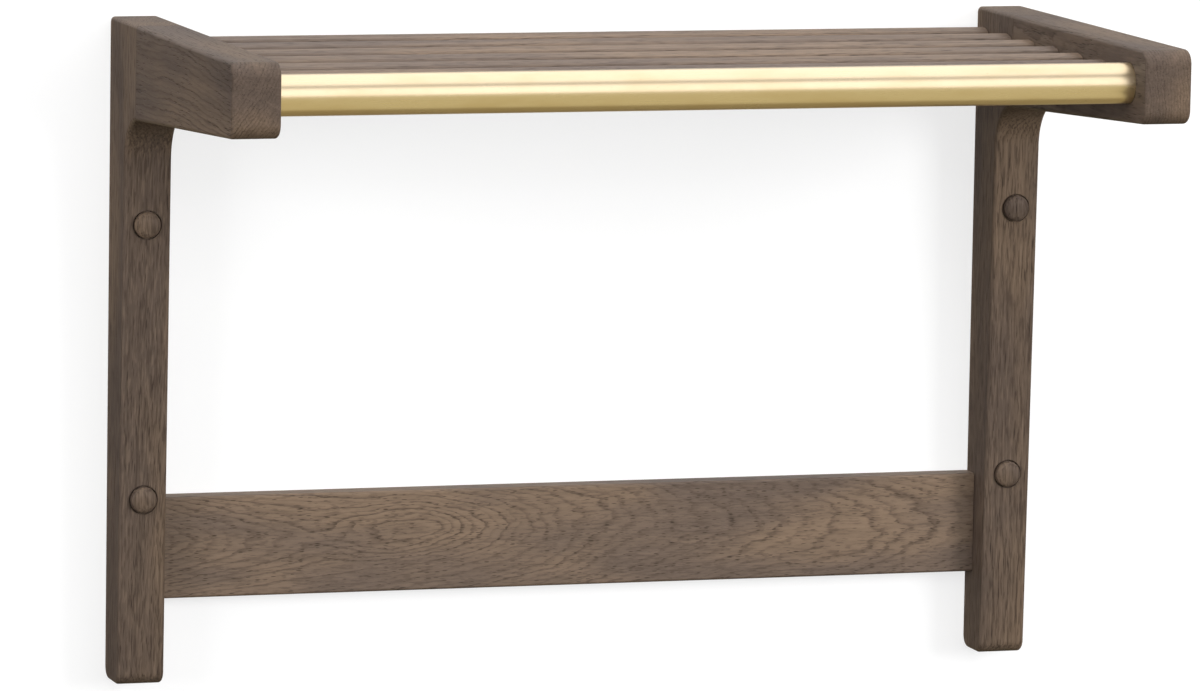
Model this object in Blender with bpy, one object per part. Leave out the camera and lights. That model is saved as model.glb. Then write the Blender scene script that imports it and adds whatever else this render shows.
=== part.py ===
"""Wall rack: two tapered L brackets, six shelf slats, a brass hanging tube and a lower rail.

Metres, X to the right, Y into the wall, Z up. The origin is the middle of the lower rail's
back face, which lies against the wall with the backs of the two uprights.
"""
import math

import bmesh
import bpy
from mathutils import Matrix, Vector

# overall
WIDTH = 0.600
DEPTH = 0.300
HEIGHT = 0.415
THICKNESS = 0.030
# upright and arm, side view
UPRIGHT_TOP_DEPTH = 0.041
UPRIGHT_FOOT_DEPTH = 0.033
ARM_ROOT_HEIGHT = 0.060
ARM_TIP_HEIGHT = 0.045
COVE_RADIUS = 0.028
JOINT_PAST_COVE = 0.001
TIP_RADIUS = 0.009
FOOT_RADIUS = 0.008
CROWN_RADIUS = 0.004
EDGE_RADIUS = 0.0024
# shelf
SLAT_COUNT = 6
SLAT_WIDTH = 0.020
SLAT_HEIGHT = 0.018
SLAT_DROP = 0.0124
SLAT_CROWN = 0.0011
SLAT_EDGE = 0.0026
SLAT_WALL_GAP = 0.003
TENON_WIDTH = 0.012
TENON_HEIGHT = 0.010
TENON_LENGTH = 0.008
# hanging tube
TUBE_DIAMETER = 0.025
TUBE_WALL = 0.0015
TUBE_SETBACK = 0.0165
TUBE_DROP = 0.0222
TUBE_ENTRY = 0.010
# lower rail
RAIL_HEIGHT = 0.064
RAIL_THICKNESS = 0.016
RAIL_EDGE = 0.0018
FOOT_BELOW_RAIL = 0.051
# wall screws under button plugs
UPPER_SCREW_DROP = 0.126
LOWER_SCREW_OVER_RAIL = 0.002
PLUG_HEAD_DIAMETER = 0.0164
PLUG_PROUD = 0.0046
PLUG_DOME = 0.0030
PLUG_SHANK_DIAMETER = 0.0100
PLUG_SHANK_LENGTH = 0.0050
RECESS_ROOM = 0.0010
RECESS_DEPTH = 0.0016
SCREW_DIAMETER = 0.0050
SCREW_HEAD_DIAMETER = 0.0092
SCREW_HEAD_HEIGHT = 0.0032
SCREW_IN_WALL = 0.030
# dowels
CORNER_DOWEL_DIAMETER = 0.008
CORNER_DOWEL_LENGTH = 0.040
CORNER_DOWEL_FROM_TOP = 0.0105
CORNER_DOWEL_FROM_UNDERSIDE = 0.016
RAIL_DOWEL_DIAMETER = 0.006
RAIL_DOWEL_LENGTH = 0.028
RAIL_DOWEL_FROM_EDGE = 0.016
# clearances, and how far a cutter runs past the face it opens
FIT = 0.0003
END_ROOM = 0.0006
OVERCUT = 0.004

# derived places, heights as drops below the top of the rack
RAIL_DROP = HEIGHT - FOOT_BELOW_RAIL - RAIL_HEIGHT
TOP_Z = RAIL_DROP + RAIL_HEIGHT / 2
SCREW_DROPS = (UPPER_SCREW_DROP, RAIL_DROP - LOWER_SCREW_OVER_RAIL)
INNER_X = WIDTH / 2 - THICKNESS
MIDDLE_X = WIDTH / 2 - THICKNESS / 2
TUBE_Y = -(DEPTH - TUBE_SETBACK - TUBE_DIAMETER / 2)
TUBE_Z = TOP_Z - TUBE_DROP
SLAT_PITCH = (-TUBE_Y - TUBE_DIAMETER / 2 - SLAT_WALL_GAP) / SLAT_COUNT

OAK = ("smoked_oak", (0.105, 0.075, 0.056), 0.55, 0.0)
BEECH = ("beech", (0.50, 0.36, 0.23), 0.6, 0.0)
BRASS = ("satin_brass", (0.80, 0.62, 0.30), 0.28, 1.0)
STEEL = ("zinc_steel", (0.62, 0.62, 0.62), 0.35, 1.0)


def clear_scene():
    for ob in list(bpy.data.objects):
        bpy.data.objects.remove(ob, do_unlink=True)


def give_material(ob, finish):
    name, colour, roughness, metallic = finish
    mat = bpy.data.materials.new(name + "_" + ob.name)
    mat.use_nodes = True
    shader = mat.node_tree.nodes["Principled BSDF"]
    shader.inputs["Base Color"].default_value = (*colour, 1.0)
    shader.inputs["Roughness"].default_value = roughness
    shader.inputs["Metallic"].default_value = metallic
    ob.data.materials.append(mat)


def make_object(name, bm, finish, angle=35.0):
    bmesh.ops.recalc_face_normals(bm, faces=bm.faces)
    mesh = bpy.data.meshes.new(name)
    bm.to_mesh(mesh)
    bm.free()
    ob = bpy.data.objects.new(name, mesh)
    bpy.context.scene.collection.objects.link(ob)
    if finish is not None:
        give_material(ob, finish)
        mesh.shade_smooth()
        mesh.set_sharp_from_angle(angle=math.radians(angle))
    return ob


def cut_with(ob, parts):
    """Cuts one object with a set of separate closed shapes."""
    bm = bmesh.new()
    for part in parts:
        mesh = bpy.data.meshes.new("cut")
        part.to_mesh(mesh)
        part.free()
        bm.from_mesh(mesh)
        bpy.data.meshes.remove(mesh)
    cutter = make_object(ob.name + "_cutter", bm, None)
    cutter.hide_render = True
    cutter.display_type = "WIRE"
    mod = ob.modifiers.new("cut", "BOOLEAN")
    mod.operation = "DIFFERENCE"
    mod.solver = "EXACT"
    mod.object = cutter


# --- plain shapes -----------------------------------------------------------------------

def turned(profile, segments, axis, place):
    """A closed body of revolution from (radius, height) points, bottom to top.

    The axis letter says which way the height runs; place is where height 0 stands.
    """
    bm = bmesh.new()
    rings = []
    for radius, height in profile:
        if radius < 1e-7:
            rings.append([bm.verts.new((0, 0, height))])
            continue
        ring = []
        for k in range(segments):
            a = 2 * math.pi * k / segments
            ring.append(bm.verts.new((radius * math.cos(a), radius * math.sin(a), height)))
        rings.append(ring)
    for low, high in zip(rings, rings[1:]):
        for k in range(segments):
            n = (k + 1) % segments
            corners = [low[k % len(low)], low[n % len(low)], high[n % len(high)], high[k % len(high)]]
            unique = list(dict.fromkeys(corners))
            if len(unique) > 2:
                bm.faces.new(unique)
    if len(rings[0]) > 1:
        bm.faces.new(list(reversed(rings[0])))
    if len(rings[-1]) > 1:
        bm.faces.new(rings[-1])
    turn = {
        "X": Matrix.Rotation(math.radians(90), 4, "Y"),
        "-X": Matrix.Rotation(math.radians(-90), 4, "Y"),
        "Y": Matrix.Rotation(math.radians(-90), 4, "X"),
        "-Y": Matrix.Rotation(math.radians(90), 4, "X"),
        "Z": Matrix.Identity(4),
    }[axis]
    bmesh.ops.transform(bm, matrix=Matrix.Translation(Vector(place)) @ turn, verts=bm.verts)
    bmesh.ops.recalc_face_normals(bm, faces=bm.faces)
    return bm


def box(low, high):
    bm = bmesh.new()
    bmesh.ops.create_cube(bm, size=1.0)
    size = Vector(high) - Vector(low)
    middle = (Vector(high) + Vector(low)) / 2
    bmesh.ops.scale(bm, vec=size, verts=bm.verts)
    bmesh.ops.translate(bm, vec=middle, verts=bm.verts)
    return bm


def round_edges(bm, edges, radius, segments):
    bmesh.ops.bevel(bm, geom=edges, offset=radius, offset_type="OFFSET", segments=segments,
                    profile=0.5, affect="EDGES", clamp_overlap=True)


def prism(outline, x_low, x_high):
    """Extrudes a closed outline of (y, z) points from one X to another."""
    bm = bmesh.new()
    low = [bm.verts.new((x_low, y, z)) for y, z in outline]
    high = [bm.verts.new((x_high, y, z)) for y, z in outline]
    bm.faces.new(low)
    bm.faces.new(list(reversed(high)))
    count = len(outline)
    for k in range(count):
        n = (k + 1) % count
        bm.faces.new((low[k], low[n], high[n], high[k]))
    bmesh.ops.recalc_face_normals(bm, faces=bm.faces)
    return bm


def corner_arc(before, corner, after, radius, steps):
    """Points of the arc that rounds a corner between two straight lines."""
    b, c, a = Vector(before), Vector(corner), Vector(after)
    into = (b - c).normalized()
    out = (a - c).normalized()
    half = into.angle(out) / 2
    centre = c + (into + out).normalized() * (radius / math.sin(half))
    start = c + into * (radius / math.tan(half)) - centre
    end = c + out * (radius / math.tan(half)) - centre
    angle = start.angle(end)
    points = []
    for k in range(steps + 1):
        t = k / steps
        p = (start * math.sin((1 - t) * angle) + end * math.sin(t * angle)) / math.sin(angle)
        points.append(tuple(centre + p))
    return points


# --- bracket ----------------------------------------------------------------------------

def upright_depth(drop):
    """Depth of the upright at a distance below the top of the rack."""
    share = (drop - ARM_ROOT_HEIGHT) / (HEIGHT - ARM_ROOT_HEIGHT)
    return UPRIGHT_TOP_DEPTH + (UPRIGHT_FOOT_DEPTH - UPRIGHT_TOP_DEPTH) * share


def bracket_outline():
    """Side view of a whole bracket as (y, z) points, and the y where its cove ends."""
    top = TOP_Z
    foot = TOP_Z - HEIGHT
    crown = (0.0, top)
    tip_top = (-DEPTH, top)
    tip_low = (-DEPTH, top - ARM_TIP_HEIGHT)
    inner = (-UPRIGHT_TOP_DEPTH, top - ARM_ROOT_HEIGHT)
    foot_front = (-UPRIGHT_FOOT_DEPTH, foot)
    foot_back = (0.0, foot)
    cove = corner_arc(tip_low, inner, foot_front, COVE_RADIUS, 10)
    outline = corner_arc(foot_back, crown, tip_top, CROWN_RADIUS, 3)
    outline += corner_arc(crown, tip_top, tip_low, TIP_RADIUS, 5)
    outline += corner_arc(tip_top, tip_low, inner, TIP_RADIUS, 5)
    outline += cove
    outline += corner_arc(inner, foot_front, foot_back, FOOT_RADIUS, 5)
    outline += corner_arc(foot_front, foot_back, crown, FOOT_RADIUS, 5)
    return outline, min(p[0] for p in cove)


def bracket_blank(side):
    """The whole bracket with its long edges rounded."""
    outline, cove_end = bracket_outline()
    inner, outer = side * INNER_X, side * WIDTH / 2
    bm = prism(outline, min(inner, outer), max(inner, outer))
    rim = [e for e in bm.edges if abs(e.verts[0].co.x - e.verts[1].co.x) < 1e-7]
    round_edges(bm, rim, EDGE_RADIUS, 3)
    return bm, cove_end - JOINT_PAST_COVE


def keep_part(bm, y, behind):
    """Cuts the blank across at a Y and keeps one side, closed with a flat face."""
    geom = list(bm.verts) + list(bm.edges) + list(bm.faces)
    bmesh.ops.bisect_plane(bm, geom=geom, plane_co=(0, y, 0), plane_no=(0, 1, 0),
                           clear_inner=behind, clear_outer=not behind)
    rim = [e for e in bm.edges if len(e.link_faces) == 1]
    bmesh.ops.holes_fill(bm, edges=rim, sides=0)
    return bm


def slat_y(number):
    return -(SLAT_WALL_GAP + SLAT_WIDTH / 2 + SLAT_PITCH * number)


def slat_middle_z():
    return TOP_Z - SLAT_DROP - SLAT_HEIGHT / 2


def tenon_mortise(side, number):
    depth = TENON_LENGTH + END_ROOM
    reach = sorted((side * (INNER_X - OVERCUT), side * (INNER_X + depth)))
    y, z = slat_y(number), slat_middle_z()
    half_y = TENON_WIDTH / 2 + FIT
    half_z = TENON_HEIGHT / 2 + FIT
    return box((reach[0], y - half_y, z - half_z), (reach[1], y + half_y, z + half_z))


def screw_hole(side, drop):
    """Stepped hole for one wall screw: clearance hole, head bore and a shallow recess."""
    front = upright_depth(drop)
    hole = SCREW_DIAMETER / 2 + FIT
    bore = max(PLUG_SHANK_DIAMETER, SCREW_HEAD_DIAMETER) / 2 + FIT
    recess = PLUG_HEAD_DIAMETER / 2 + RECESS_ROOM
    seat = head_seat(drop)
    floor = front - RECESS_DEPTH
    profile = [(hole, -OVERCUT), (hole, seat), (bore, seat), (bore, floor), (recess, floor),
               (recess, front + OVERCUT)]
    return turned(profile, 40, "-Y", (side * MIDDLE_X, 0, TOP_Z - drop))


def head_seat(drop):
    """How far from the wall the underside of a screw head sits."""
    floor = upright_depth(drop) - RECESS_DEPTH
    return floor - FIT - PLUG_SHANK_LENGTH - 2 * END_ROOM - SCREW_HEAD_HEIGHT


def corner_dowel_drops():
    return (CORNER_DOWEL_FROM_TOP, ARM_ROOT_HEIGHT - CORNER_DOWEL_FROM_UNDERSIDE)


def rail_dowel_heights():
    height = RAIL_HEIGHT / 2 - RAIL_DOWEL_FROM_EDGE
    return (height, -height)


def corner_dowel_hole(side, joint, drop):
    half = CORNER_DOWEL_LENGTH / 2 + END_ROOM
    radius = CORNER_DOWEL_DIAMETER / 2 + FIT
    return turned([(radius, -half), (radius, half)], 24, "Y", (side * MIDDLE_X, joint, TOP_Z - drop))


def rail_dowel_hole(side, z):
    half = RAIL_DOWEL_LENGTH / 2 + END_ROOM
    radius = RAIL_DOWEL_DIAMETER / 2 + FIT
    return turned([(radius, -half), (radius, half)], 20, "X", (side * INNER_X, -RAIL_THICKNESS / 2, z))


def tube_hole(side):
    radius = TUBE_DIAMETER / 2 + FIT
    far = side * (INNER_X + TUBE_ENTRY + END_ROOM)
    near = side * (INNER_X - OVERCUT)
    middle = (far + near) / 2
    half = abs(far - near) / 2
    return turned([(radius, -half), (radius, half)], 56, "X", (middle, TUBE_Y, TUBE_Z))


def tenon_holes(side, joint, behind):
    """Mortises of the slats whose tenons reach behind, or before, the corner joint."""
    half = TENON_WIDTH / 2 + FIT
    if behind:
        numbers = [n for n in range(SLAT_COUNT) if slat_y(n) + half > joint]
    else:
        numbers = [n for n in range(SLAT_COUNT) if slat_y(n) - half < joint]
    return [tenon_mortise(side, n) for n in numbers]


def make_upright(side, label):
    bm, joint = bracket_blank(side)
    ob = make_object("upright_" + label, keep_part(bm, joint, True), OAK)
    cuts = tenon_holes(side, joint, True)
    cuts += [screw_hole(side, drop) for drop in SCREW_DROPS]
    cuts += [corner_dowel_hole(side, joint, drop) for drop in corner_dowel_drops()]
    cuts += [rail_dowel_hole(side, z) for z in rail_dowel_heights()]
    cut_with(ob, cuts)


def make_arm(side, label):
    bm, joint = bracket_blank(side)
    ob = make_object("arm_" + label, keep_part(bm, joint - FIT, False), OAK)
    cuts = tenon_holes(side, joint, False)
    cuts += [corner_dowel_hole(side, joint, drop) for drop in corner_dowel_drops()]
    cuts.append(tube_hole(side))
    cut_with(ob, cuts)


def make_corner_dowels(side, label):
    joint = bracket_outline()[1] - JOINT_PAST_COVE
    for place, drop in zip(("upper", "lower"), corner_dowel_drops()):
        bm = dowel(CORNER_DOWEL_DIAMETER, CORNER_DOWEL_LENGTH, "Y", (side * MIDDLE_X, joint, TOP_Z - drop))
        make_object("corner_dowel_" + label + "_" + place, bm, BEECH)


def dowel(diameter, length, axis, place):
    radius, half, edge = diameter / 2, length / 2, diameter * 0.1
    profile = [(radius - edge, -half), (radius, edge - half), (radius, half - edge), (radius - edge, half)]
    return turned(profile, 20, axis, place)


# --- shelf ------------------------------------------------------------------------------

def slat_outline(y, z):
    """Cross-section of a slat as (y, z) points: a crowned top and rounded upper edges."""
    half = SLAT_WIDTH / 2
    top = z + SLAT_HEIGHT / 2
    low = z - SLAT_HEIGHT / 2
    shoulder = top - SLAT_CROWN - SLAT_EDGE
    points = []
    steps = 6
    for k in range(steps + 1):
        a = math.pi / 2 * k / steps
        points.append((half - SLAT_EDGE * (1 - math.cos(a)), shoulder + SLAT_EDGE * math.sin(a)))
    flat = half - SLAT_EDGE
    for k in range(1, 8):
        across = flat * (1 - 2 * k / 8)
        points.append((across, top - SLAT_CROWN * (across / flat) ** 2))
    points += [(-p, q) for p, q in reversed(points[:steps + 1])]
    under = SLAT_EDGE * 0.5
    points += [(-half, low + under), (-half + under, low), (half - under, low), (half, low + under)]
    return [(y + p, q) for p, q in points]


def make_slat(number):
    """One shelf slat with a stub tenon at each end, all in one closed body."""
    y, z = slat_y(number), slat_middle_z()
    shoulder = INNER_X - FIT
    bm = prism(slat_outline(y, z), -shoulder, shoulder)
    for side in (-1, 1):
        add_tenon(bm, side, y, z, shoulder)
    make_object("slat_%d" % (number + 1), bm, OAK)


def add_tenon(bm, side, y, z, shoulder):
    """Grows a stub tenon out of one end face."""
    end = max(bm.faces, key=lambda f: side * f.calc_center_median().x - abs(f.normal.x + side * -1))
    half_y, half_z = TENON_WIDTH / 2, TENON_HEIGHT / 2
    corners = [(-half_y, -half_z), (half_y, -half_z), (half_y, half_z), (-half_y, half_z)]
    foot = [bm.verts.new((side * shoulder, y + p, z + q)) for p, q in corners]
    tip = [bm.verts.new((side * (INNER_X + TENON_LENGTH), y + p, z + q)) for p, q in corners]
    rim = sorted(end.verts, key=lambda v: math.atan2(v.co.z - z, v.co.y - y))
    bm.faces.remove(end)
    join_ring(bm, rim, foot, y, z)
    for k in range(4):
        n = (k + 1) % 4
        bm.faces.new((foot[k], foot[n], tip[n], tip[k]))
    bm.faces.new(tip)


def join_ring(bm, rim, foot, y, z):
    """Fills the flat shoulder between the slat's outline and the foot of its tenon."""
    def angle(v):
        return math.atan2(v.co.z - z, v.co.y - y)
    inner = sorted(foot, key=angle)
    count = len(rim)
    nearest = [min(range(4), key=lambda k: (inner[k].co - v.co).length) for v in rim]
    for i in range(count):
        j = (i + 1) % count
        a, b = nearest[i], nearest[j]
        if a == b:
            bm.faces.new((rim[i], rim[j], inner[a]))
        else:
            bm.faces.new((rim[i], rim[j], inner[b], inner[a]))


def make_tube():
    """The brass tube, open inside, with its ends in the arms."""
    outer, inner = TUBE_DIAMETER / 2, TUBE_DIAMETER / 2 - TUBE_WALL
    half = INNER_X + TUBE_ENTRY
    bm = bmesh.new()
    rings = []
    for x, radius in ((-half, outer), (half, outer), (half, inner), (-half, inner)):
        ring = []
        for k in range(56):
            a = 2 * math.pi * k / 56
            ring.append(bm.verts.new((x, TUBE_Y + radius * math.cos(a), TUBE_Z + radius * math.sin(a))))
        rings.append(ring)
    for k in range(4):
        first, second = rings[k], rings[(k + 1) % 4]
        for i in range(56):
            j = (i + 1) % 56
            bm.faces.new((first[i], first[j], second[j], second[i]))
    make_object("hanging_tube", bm, BRASS)


# --- rail -------------------------------------------------------------------------------

def make_rail():
    end = INNER_X - FIT
    bm = box((-end, -RAIL_THICKNESS, -RAIL_HEIGHT / 2), (end, 0, RAIL_HEIGHT / 2))
    long_edges = [e for e in bm.edges if abs(e.verts[0].co.x - e.verts[1].co.x) > end]
    round_edges(bm, long_edges, RAIL_EDGE, 3)
    ob = make_object("wall_rail", bm, OAK)
    cut_with(ob, [rail_dowel_hole(side, z) for side in (-1, 1) for z in rail_dowel_heights()])


def make_rail_dowels(side, label):
    for place, z in zip(("upper", "lower"), rail_dowel_heights()):
        bm = dowel(RAIL_DOWEL_DIAMETER, RAIL_DOWEL_LENGTH, "X", (side * INNER_X, -RAIL_THICKNESS / 2, z))
        make_object("rail_dowel_" + label + "_" + place, bm, BEECH)


# --- wall screws and plugs --------------------------------------------------------------

def make_plug(side, label, place, drop):
    """Mushroom-headed button plug that covers one wall screw."""
    front = upright_depth(drop)
    under = front - RECESS_DEPTH + FIT
    crown = front + PLUG_PROUD
    head = PLUG_HEAD_DIAMETER / 2
    shank = PLUG_SHANK_DIAMETER / 2
    profile = [(shank - 0.0006, under - PLUG_SHANK_LENGTH), (shank, under - PLUG_SHANK_LENGTH + 0.0006),
               (shank, under), (head - 0.0004, under), (head, under + 0.0004), (head, crown - PLUG_DOME)]
    for k in range(1, 8):
        a = math.pi / 2 * k / 8
        profile.append((head * math.cos(a) ** 0.8, crown - PLUG_DOME * (1 - math.sin(a))))
    profile.append((0.0, crown))
    bm = turned(profile, 40, "-Y", (side * MIDDLE_X, 0, TOP_Z - drop))
    make_object("plug_" + label + "_" + place, bm, OAK)


def make_screw(side, label, place, drop):
    """Pan-head wall screw, standing out of the back of the upright into the wall."""
    seat = head_seat(drop) + FIT
    radius, head = SCREW_DIAMETER / 2, SCREW_HEAD_DIAMETER / 2
    profile = [(0.0, -SCREW_IN_WALL), (radius * 0.55, 0.004 - SCREW_IN_WALL), (radius, 0.010 - SCREW_IN_WALL),
               (radius, seat), (head, seat), (head, seat + SCREW_HEAD_HEIGHT * 0.55),
               (head * 0.72, seat + SCREW_HEAD_HEIGHT), (0.0, seat + SCREW_HEAD_HEIGHT)]
    bm = turned(profile, 24, "-Y", (side * MIDDLE_X, 0, TOP_Z - drop))
    make_object("wall_screw_" + label + "_" + place, bm, STEEL)


def build():
    clear_scene()
    for side, label in ((-1, "left"), (1, "right")):
        make_upright(side, label)
        make_arm(side, label)
        make_corner_dowels(side, label)
        make_rail_dowels(side, label)
        for place, drop in zip(("upper", "lower"), SCREW_DROPS):
            make_plug(side, label, place, drop)
            make_screw(side, label, place, drop)
    for number in range(SLAT_COUNT):
        make_slat(number)
    make_tube()
    make_rail()


build()
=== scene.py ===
"""Looks of a wall rack in smoked oak, with a brass hanging tube along its slatted shelf.

Metres, X to the right, Y into the wall, Z up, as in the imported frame. Each oak piece is rebuilt
with finer edges and gets its own place in a log, which its rings, pores and end grain follow.
"""

from math import atan2, cos, floor, hypot, pi, radians, sin, sqrt, tan

import bmesh
import bpy
from bpy.props import FloatProperty, FloatVectorProperty, IntProperty, PointerProperty
from mathutils import Matrix, Vector, noise


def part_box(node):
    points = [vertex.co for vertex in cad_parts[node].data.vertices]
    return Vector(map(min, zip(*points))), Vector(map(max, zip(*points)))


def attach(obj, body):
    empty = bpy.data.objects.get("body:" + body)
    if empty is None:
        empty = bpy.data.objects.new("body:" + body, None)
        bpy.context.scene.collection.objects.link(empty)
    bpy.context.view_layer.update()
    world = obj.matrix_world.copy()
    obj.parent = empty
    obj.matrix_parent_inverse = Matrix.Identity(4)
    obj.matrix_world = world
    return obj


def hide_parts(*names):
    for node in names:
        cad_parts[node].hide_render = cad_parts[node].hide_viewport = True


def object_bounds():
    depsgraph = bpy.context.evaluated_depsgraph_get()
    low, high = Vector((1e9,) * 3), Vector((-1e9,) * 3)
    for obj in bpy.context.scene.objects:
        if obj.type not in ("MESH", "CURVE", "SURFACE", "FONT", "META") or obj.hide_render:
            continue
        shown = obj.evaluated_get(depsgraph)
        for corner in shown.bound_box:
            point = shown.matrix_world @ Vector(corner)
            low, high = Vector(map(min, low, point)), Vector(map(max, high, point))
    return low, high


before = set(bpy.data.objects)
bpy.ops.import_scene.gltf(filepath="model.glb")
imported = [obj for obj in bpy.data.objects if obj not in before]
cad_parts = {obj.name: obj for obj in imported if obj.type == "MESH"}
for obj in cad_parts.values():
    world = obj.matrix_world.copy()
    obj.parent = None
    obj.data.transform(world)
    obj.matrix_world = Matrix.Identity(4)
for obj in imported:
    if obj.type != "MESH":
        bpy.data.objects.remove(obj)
CAD_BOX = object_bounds()

bl_info = {
    "name": "Oak wall rack",
    "version": (1, 0, 0),
    "blender": (4, 5, 0),
    "location": "3D View > Sidebar > Wall rack",
    "description": "Builds the pieces, finishes and studio of a slatted wall rack",
    "category": "Object",
}

SIDES = ("left", "right")
SLATS = sorted(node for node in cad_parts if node.startswith("slat_"))
PLACES = ("upper", "lower")
SPOTS = [(side, place) for side in SIDES for place in PLACES]
TIMBER = "timber"     # point attribute: where the point sat in the log
WEAR = "wear"         # point attribute: 1 where an edge is rubbed
GAP = 0.0003          # room round tenons, dowels, shanks and the tube
BORE_END = 0.0006     # spare depth beyond the end of a dowel or of the tube
OVERCUT = 0.004       # how far outside the wood a cutter starts
TINY = 1e-7           # shorter than anything real


def length(name, text, default, precision=4):
    return FloatProperty(name=name, description=text, default=default, unit="LENGTH",
                         subtype="DISTANCE", precision=precision)


def colour(name, text, default):
    return FloatVectorProperty(name=name, description=text, default=default, subtype="COLOR",
                               size=3, min=0.0, max=1.0)


def share(name, text, default):
    return FloatProperty(name=name, description=text, default=default, subtype="FACTOR",
                         min=0.0, max=1.0)


def bearing(name, text, default):
    return FloatProperty(name=name, description=text, default=default, subtype="ANGLE",
                         unit="ROTATION")


# --- sizes and colours ---

class BracketSizes(bpy.types.PropertyGroup):
    top_depth: length("Depth at arm", "Depth of an upright under its arm", 0.041)
    foot_depth: length("Depth at foot", "Depth of an upright at its foot", 0.033)
    root_height: length("Arm root", "Height of an arm at the upright", 0.060)
    tip_height: length("Arm tip", "Height of an arm at its front end", 0.045)
    cove_radius: length("Cove", "Radius of the inside corner under an arm", 0.028)
    tip_radius: length("Tip rounding", "Rounding of an arm's front end", 0.009)
    foot_radius: length("Foot rounding", "Rounding of an upright's foot", 0.008)
    crown_radius: length("Crown rounding", "Rounding of the top back corner", 0.004)
    edge_radius: length("Arris", "Rounding of the long edges", 0.0024)


class ShelfSizes(bpy.types.PropertyGroup):
    crown: length("Crown", "Rise of a slat's top above its shoulders", 0.0011)
    edge: length("Slat edge", "Rounding of a slat's upper edges", 0.0026)
    tenon_width: length("Tenon width", "Width of the stub tenons", 0.012)
    tenon_height: length("Tenon height", "Height of the stub tenons", 0.010)
    ripple: length("Plane ripple", "Height of the plane marks along a slat", 0.00010, 5)
    tube_wall: length("Tube wall", "Wall of the hanging tube", 0.0015)
    rail_edge: length("Rail arris", "Rounding of the rail's long edges", 0.0018)


class FixingSizes(bpy.types.PropertyGroup):
    plug_dome: length("Dome", "Height of a plug's domed face", 0.0030)
    shank: length("Plug shank", "Diameter of a plug's shank", 0.0100)
    recess_depth: length("Recess", "Depth of the recess round a plug", 0.0016)
    recess_room: length("Recess room", "Gap round a plug's head", 0.0010)
    head_room: length("Screw head room", "Depth under a plug for the screw's head", 0.0036)
    head_height: length("Screw head", "Height of the screw's pan head", 0.0032)
    screw: length("Screw", "Outside diameter of the thread", 0.0050)
    core: length("Screw core", "Diameter under the thread", 0.0034)
    pitch: length("Thread pitch", "From one thread to the next", 0.0022)
    neck: length("Screw neck", "Plain length under the screw's head", 0.010)
    point: length("Screw point", "Length of the screw's taper", 0.010)
    flutes: IntProperty(name="Flutes", description="Number of flutes round a dowel", default=18)


class Finishes(bpy.types.PropertyGroup):
    oak_warm: colour("Oak, warm", "Warm parts of the smoked oak", (0.146, 0.101, 0.0690))
    oak_grey: colour("Oak, grey", "Grey parts of the smoked oak", (0.098, 0.0705, 0.0550))
    oak_dark: colour("Oak, rings", "Open-pored early wood of each ring", (0.047, 0.0315, 0.0235))
    oak_pore: colour("Oak, pores", "Bottom of the pores", (0.020, 0.0135, 0.0105))
    oak_pale: colour("Oak, pale flecks", "Short pale flecks between the pores", (0.215, 0.155, 0.108))
    oak_ray: colour("Oak, rays", "Thin plates that catch the light", (0.16, 0.115, 0.085))
    oak_worn: colour("Oak, worn", "Rubbed edges", (0.17, 0.125, 0.095))
    gloss: share("Oak sheen", "Roughness of the oiled oak", 0.50)
    brass: colour("Brass", "Colour of the hanging tube", (0.85, 0.70, 0.48))
    tarnish: colour("Brass spots", "Small spots of tarnish on the tube", (0.42, 0.27, 0.10))
    beech: colour("Beech", "Colour of the dowels", (0.50, 0.34, 0.21))
    zinc: colour("Zinc", "Colour of the screws", (0.62, 0.62, 0.63))
    paint: colour("Wall", "Colour of the wall and floor", (0.32, 0.32, 0.32))
    paint_thin: colour("Wall, thin", "Where the paint lies thinner", (0.3, 0.3, 0.3))
    wall_glow: share("Wall glow", "Light the wall gives off", 0.70)
    floor_glow: share("Floor glow", "Light the floor gives off", 0.85)
    room_glow: share("Backdrop glow", "Light the backdrops round the room give off", 1.0)


class StudioSizes(bpy.types.PropertyGroup):
    place: FloatVectorProperty(name="Camera", description="Where the camera stands",
                               default=(-1.4654, -4.7417, 0.7854), subtype="TRANSLATION",
                               unit="LENGTH")
    turn: bearing("Turn", "Camera's turn to the right", 0.3038)
    tilt: bearing("Tilt", "Camera's tilt upwards", -0.1334)
    roll: bearing("Roll", "Camera's roll", 0.017)
    lens: FloatProperty(name="Lens", description="Focal length in millimetres for a 36 mm sensor",
                        default=237.2)
    floor_drop: length("Floor", "How far the floor lies below the rack", 0.60, 2)


# --- shader writing ---

class Link:
    """One output of a shader node; arithmetic on it adds Math nodes."""

    def __init__(self, finish, socket):
        self.finish = finish
        self.socket = socket

    def __add__(self, other):
        return self.finish.maths("ADD", self, other)

    def __radd__(self, other):
        return self.finish.maths("ADD", other, self)

    def __sub__(self, other):
        return self.finish.maths("SUBTRACT", self, other)

    def __rsub__(self, other):
        return self.finish.maths("SUBTRACT", other, self)

    def __mul__(self, other):
        return self.finish.maths("MULTIPLY", self, other)

    def __rmul__(self, other):
        return self.finish.maths("MULTIPLY", other, self)

    def __truediv__(self, other):
        return self.finish.maths("DIVIDE", self, other)

    def __rtruediv__(self, other):
        return self.finish.maths("DIVIDE", other, self)

    def ramp(self, low, high):
        """0 at low, 1 at high and a smooth step between them, either way round."""
        return self.finish.node("ShaderNodeMapRange", {"interpolation_type": "SMOOTHSTEP"},
                                {"Value": self, "From Min": low, "From Max": high})

    def beside(self, out):
        """Another output of the same node."""
        return Link(self.finish, self.socket.node.outputs[out])


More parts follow.
